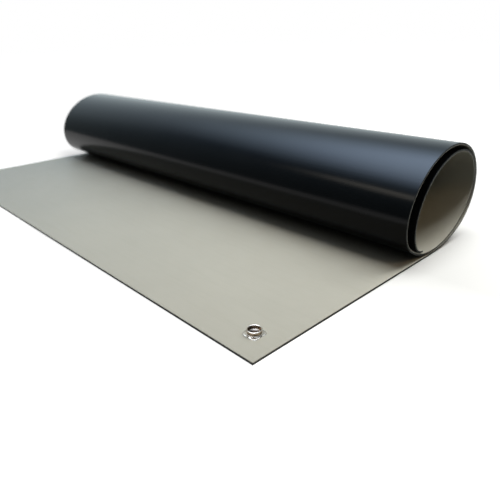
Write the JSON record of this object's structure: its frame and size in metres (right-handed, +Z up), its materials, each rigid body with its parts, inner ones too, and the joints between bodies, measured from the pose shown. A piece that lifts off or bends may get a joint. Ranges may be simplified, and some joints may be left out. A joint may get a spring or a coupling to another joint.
{
  "type": "static-dissipative bench mat",
  "caption": "Two-layer rubber bench mat, grey face and black back, partly rolled up, with a snap stud for a grounding cord at each front corner.",
  "frame": {"origin": "centre of the flat underside of the mat", "axes": "+X along the width and the axis of the roll, +Y from the front edge towards the roll, +Z up"},
  "size_m": [0.6, 0.2853, 0.0926],
  "materials": {
    "base_rubber": "smooth, satin sheen",
    "top_rubber": "matt, lightly textured",
    "stud_metal": "bright nickel plate",
    "eyelet_metal": "plated, rolled over"
  },
  "bodies": {
    "flat_mat": {"flat_base": "base_rubber", "flat_top": "top_rubber", "stud_right": "stud_metal", "contact_washer_right": "stud_metal", "eyelet_right": "eyelet_metal", "backing_washer_right": "stud_metal", "stud_left": "stud_metal", "contact_washer_left": "stud_metal", "eyelet_left": "eyelet_metal", "backing_washer_left": "stud_metal"},
    "curl_01": {"curl_base_01": "base_rubber", "curl_top_01": "top_rubber"},
    "curl_02": {"curl_base_02": "base_rubber", "curl_top_02": "top_rubber"},
    "curl_03": {"curl_base_03": "base_rubber", "curl_top_03": "top_rubber"},
    "curl_04": {"curl_base_04": "base_rubber", "curl_top_04": "top_rubber"},
    "curl_05": {"curl_base_05": "base_rubber", "curl_top_05": "top_rubber"},
    "curl_06": {"curl_base_06": "base_rubber", "curl_top_06": "top_rubber"},
    "curl_07": {"curl_base_07": "base_rubber", "curl_top_07": "top_rubber"},
    "curl_08": {"curl_base_08": "base_rubber", "curl_top_08": "top_rubber"},
    "curl_09": {"curl_base_09": "base_rubber", "curl_top_09": "top_rubber"},
    "curl_10": {"curl_base_10": "base_rubber", "curl_top_10": "top_rubber"},
    "curl_11": {"curl_base_11": "base_rubber", "curl_top_11": "top_rubber"},
    "curl_12": {"curl_base_12": "base_rubber", "curl_top_12": "top_rubber"},
    "curl_13": {"curl_base_13": "base_rubber", "curl_top_13": "top_rubber"},
    "curl_14": {"curl_base_14": "base_rubber", "curl_top_14": "top_rubber"},
    "curl_15": {"curl_base_15": "base_rubber", "curl_top_15": "top_rubber"},
    "curl_16": {"curl_base_16": "base_rubber", "curl_top_16": "top_rubber"},
    "curl_17": {"curl_base_17": "base_rubber", "curl_top_17": "top_rubber"},
    "curl_18": {"curl_base_18": "base_rubber", "curl_top_18": "top_rubber"},
    "curl_19": {"curl_base_19": "base_rubber", "curl_top_19": "top_rubber"},
    "curl_20": {"curl_base_20": "base_rubber", "curl_top_20": "top_rubber"},
    "curl_21": {"curl_base_21": "base_rubber", "curl_top_21": "top_rubber"},
    "curl_22": {"curl_base_22": "base_rubber", "curl_top_22": "top_rubber"},
    "curl_23": {"curl_base_23": "base_rubber", "curl_top_23": "top_rubber"},
    "curl_24": {"curl_base_24": "base_rubber", "curl_top_24": "top_rubber"}
  },
  "joints": [
    {"name": "unroll", "type": "hinge", "parent": "flat_mat", "child": "curl_01", "pos_m": [0, 0.12594, 0.00151], "axis": [-1, 0, 0], "range_deg": [0, 18.34]},
    {"name": "unroll_02", "type": "hinge", "parent": "curl_01", "child": "curl_02", "pos_m": [0, 0.15825, 0.01223], "axis": [-1, 0, 0], "range_deg": [0, 25.1]},
    {"name": "unroll_03", "type": "hinge", "parent": "curl_02", "child": "curl_03", "pos_m": [0, 0.17503, 0.0281], "axis": [-1, 0, 0], "range_deg": [0, 31.39]},
    {"name": "unroll_04", "type": "hinge", "parent": "curl_03", "child": "curl_04", "pos_m": [0, 0.18053, 0.04831], "axis": [-1, 0, 0], "range_deg": [0, 32.03]},
    {"name": "unroll_05", "type": "hinge", "parent": "curl_04", "child": "curl_05", "pos_m": [0, 0.17414, 0.0695], "axis": [-1, 0, 0], "range_deg": [0, 30.25]},
    {"name": "unroll_06", "type": "hinge", "parent": "curl_05", "child": "curl_06", "pos_m": [0, 0.15693, 0.08554], "axis": [-1, 0, 0], "range_deg": [0, 27.63]},
    {"name": "unroll_07", "type": "hinge", "parent": "curl_06", "child": "curl_07", "pos_m": [0, 0.13122, 0.0926], "axis": [-1, 0, 0], "range_deg": [0, 24.74]},
    {"name": "unroll_08", "type": "hinge", "parent": "curl_07", "child": "curl_08", "pos_m": [0, 0.10225, 0.08783], "axis": [-1, 0, 0], "range_deg": [0, 23.28]},
    {"name": "unroll_09", "type": "hinge", "parent": "curl_08", "child": "curl_09", "pos_m": [0, 0.07716, 0.07171], "axis": [-1, 0, 0], "range_deg": [0, 22.85]},
    {"name": "unroll_10", "type": "hinge", "parent": "curl_09", "child": "curl_10", "pos_m": [0, 0.06334, 0.04988], "axis": [-1, 0, 0], "range_deg": [0, 24.6]},
    {"name": "unroll_11", "type": "hinge", "parent": "curl_10", "child": "curl_11", "pos_m": [0, 0.06246, 0.02911], "axis": [-1, 0, 0], "range_deg": [0, 25.38]},
    {"name": "unroll_12", "type": "hinge", "parent": "curl_11", "child": "curl_12", "pos_m": [0, 0.07225, 0.01435], "axis": [-1, 0, 0], "range_deg": [0, 19.08]},
    {"name": "unroll_13", "type": "hinge", "parent": "curl_12", "child": "curl_13", "pos_m": [0, 0.09584, 0.004], "axis": [-1, 0, 0], "range_deg": [0, 14.49]},
    {"name": "unroll_14", "type": "hinge", "parent": "curl_13", "child": "curl_14", "pos_m": [0, 0.12742, 0.00435], "axis": [-1, 0, 0], "range_deg": [0, 13.68]},
    {"name": "unroll_15", "type": "hinge", "parent": "curl_14", "child": "curl_15", "pos_m": [0, 0.1548, 0.01607], "axis": [-1, 0, 0], "range_deg": [0, 15.24]},
    {"name": "unroll_16", "type": "hinge", "parent": "curl_15", "child": "curl_16", "pos_m": [0, 0.17255, 0.03567], "axis": [-1, 0, 0], "range_deg": [0, 19.38]},
    {"name": "unroll_17", "type": "hinge", "parent": "curl_16", "child": "curl_17", "pos_m": [0, 0.17642, 0.05477], "axis": [-1, 0, 0], "range_deg": [0, 22.81]},
    {"name": "unroll_18", "type": "hinge", "parent": "curl_17", "child": "curl_18", "pos_m": [0, 0.16851, 0.07276], "axis": [-1, 0, 0], "range_deg": [0, 22.58]},
    {"name": "unroll_19", "type": "hinge", "parent": "curl_18", "child": "curl_19", "pos_m": [0, 0.15077, 0.08402], "axis": [-1, 0, 0], "range_deg": [0, 20.51]},
    {"name": "unroll_20", "type": "hinge", "parent": "curl_19", "child": "curl_20", "pos_m": [0, 0.12551, 0.08505], "axis": [-1, 0, 0], "range_deg": [0, 17.97]},
    {"name": "unroll_21", "type": "hinge", "parent": "curl_20", "child": "curl_21", "pos_m": [0, 0.09943, 0.07374], "axis": [-1, 0, 0], "range_deg": [0, 18.34]},
    {"name": "unroll_22", "type": "hinge", "parent": "curl_21", "child": "curl_22", "pos_m": [0, 0.08182, 0.05378], "axis": [-1, 0, 0], "range_deg": [0, 21.25]},
    {"name": "unroll_23", "type": "hinge", "parent": "curl_22", "child": "curl_23", "pos_m": [0, 0.07594, 0.03043], "axis": [-1, 0, 0], "range_deg": [0, 27.56]},
    {"name": "unroll_24", "type": "hinge", "parent": "curl_23", "child": "curl_24", "pos_m": [0, 0.08187, 0.01318], "axis": [-1, 0, 0], "range_deg": [0, 40.49]}
  ],
  "couplings": [
    {"joint": "unroll_02", "follows": "unroll", "ratio": 1.3673},
    {"joint": "unroll_03", "follows": "unroll", "ratio": 1.7103},
    {"joint": "unroll_04", "follows": "unroll", "ratio": 1.7456},
    {"joint": "unroll_05", "follows": "unroll", "ratio": 1.6484},
    {"joint": "unroll_06", "follows": "unroll", "ratio": 1.5055},
    {"joint": "unroll_07", "follows": "unroll", "ratio": 1.3479},
    {"joint": "unroll_08", "follows": "unroll", "ratio": 1.2685},
    {"joint": "unroll_09", "follows": "unroll", "ratio": 1.2447},
    {"joint": "unroll_10", "follows": "unroll", "ratio": 1.3401},
    {"joint": "unroll_11", "follows": "unroll", "ratio": 1.383},
    {"joint": "unroll_12", "follows": "unroll", "ratio": 1.0391},
    {"joint": "unroll_13", "follows": "unroll", "ratio": 0.78904},
    {"joint": "unroll_14", "follows": "unroll", "ratio": 0.74481},
    {"joint": "unroll_15", "follows": "unroll", "ratio": 0.83005},
    {"joint": "unroll_16", "follows": "unroll", "ratio": 1.0558},
    {"joint": "unroll_17", "follows": "unroll", "ratio": 1.2426},
    {"joint": "unroll_18", "follows": "unroll", "ratio": 1.2301},
    {"joint": "unroll_19", "follows": "unroll", "ratio": 1.1171},
    {"joint": "unroll_20", "follows": "unroll", "ratio": 0.97867},
    {"joint": "unroll_21", "follows": "unroll", "ratio": 0.999},
    {"joint": "unroll_22", "follows": "unroll", "ratio": 1.1579},
    {"joint": "unroll_23", "follows": "unroll", "ratio": 1.5015},
    {"joint": "unroll_24", "follows": "unroll", "ratio": 2.2065}
  ]
}
